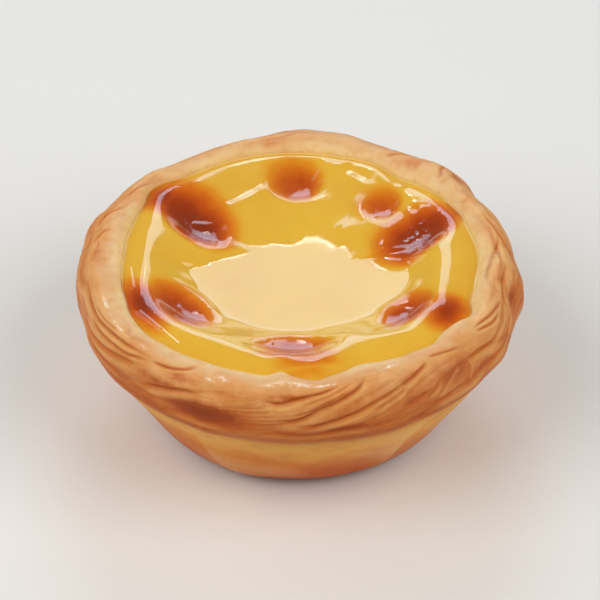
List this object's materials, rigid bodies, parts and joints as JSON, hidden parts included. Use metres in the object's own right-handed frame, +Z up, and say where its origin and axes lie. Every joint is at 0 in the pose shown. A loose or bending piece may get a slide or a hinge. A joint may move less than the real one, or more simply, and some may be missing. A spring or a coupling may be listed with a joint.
{
  "type": "portuguese custard tart",
  "caption": "Small round custard tart with a rolled, laminated pastry rim, a sloping shell and a glossy baked filling with caramelised dents.",
  "frame": {"origin": "middle of the flat base that the tart stands on", "axes": "+Z up through the filling, -Y the front, +X to the right seen from the front"},
  "size_m": [0.0807, 0.0824, 0.0323],
  "materials": {
    "pastry": "baked laminated pastry, satin, pale on the rim and browner on its face and foot",
    "custard": "glossy baked custard, yellow, with dark caramelised spots"
  },
  "bodies": {
    "root": {"pastry_shell": "pastry", "custard": "custard"}
  },
  "joints": []
}
